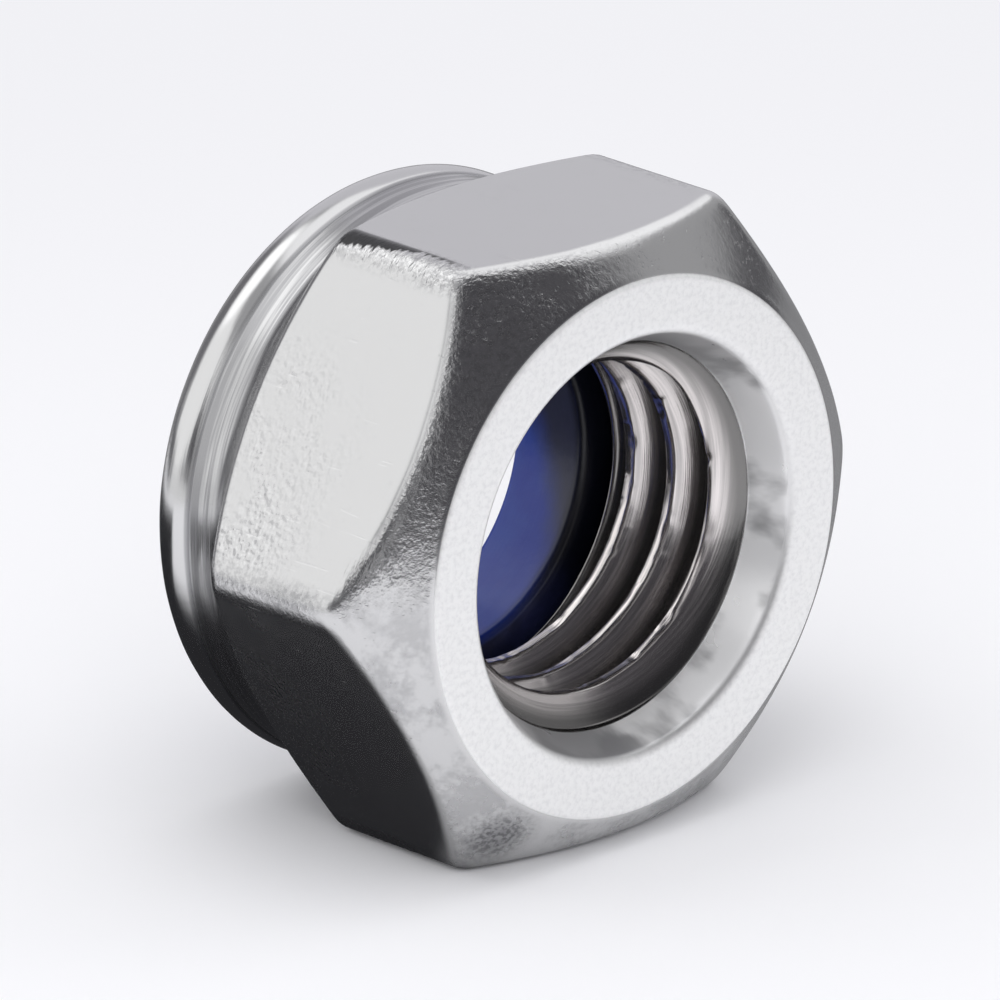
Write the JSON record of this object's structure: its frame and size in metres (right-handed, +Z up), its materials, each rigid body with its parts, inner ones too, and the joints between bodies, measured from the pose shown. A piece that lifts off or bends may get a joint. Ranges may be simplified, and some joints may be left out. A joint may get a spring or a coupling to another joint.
{
  "type": "nylon insert lock nut",
  "caption": "Hexagon lock nut with a rolled collar that holds a blue nylon ring, and a coarse right-hand thread through it.",
  "frame": {"origin": "centre of the bearing face, on the thread axis", "axes": "+Y along the thread axis from the bearing face to the collar, +Z up, with a hexagon flat facing down, +X towards a hexagon corner"},
  "size_m": [0.0216, 0.0117, 0.019],
  "materials": {
    "stainless_steel": "bright polished stainless steel with fine pits and scratches, the bearing face matte",
    "blue_nylon": "deep blue nylon, satin, slightly translucent"
  },
  "bodies": {
    "root": {"nut_body": "stainless_steel", "nylon_insert": "blue_nylon"}
  },
  "joints": []
}
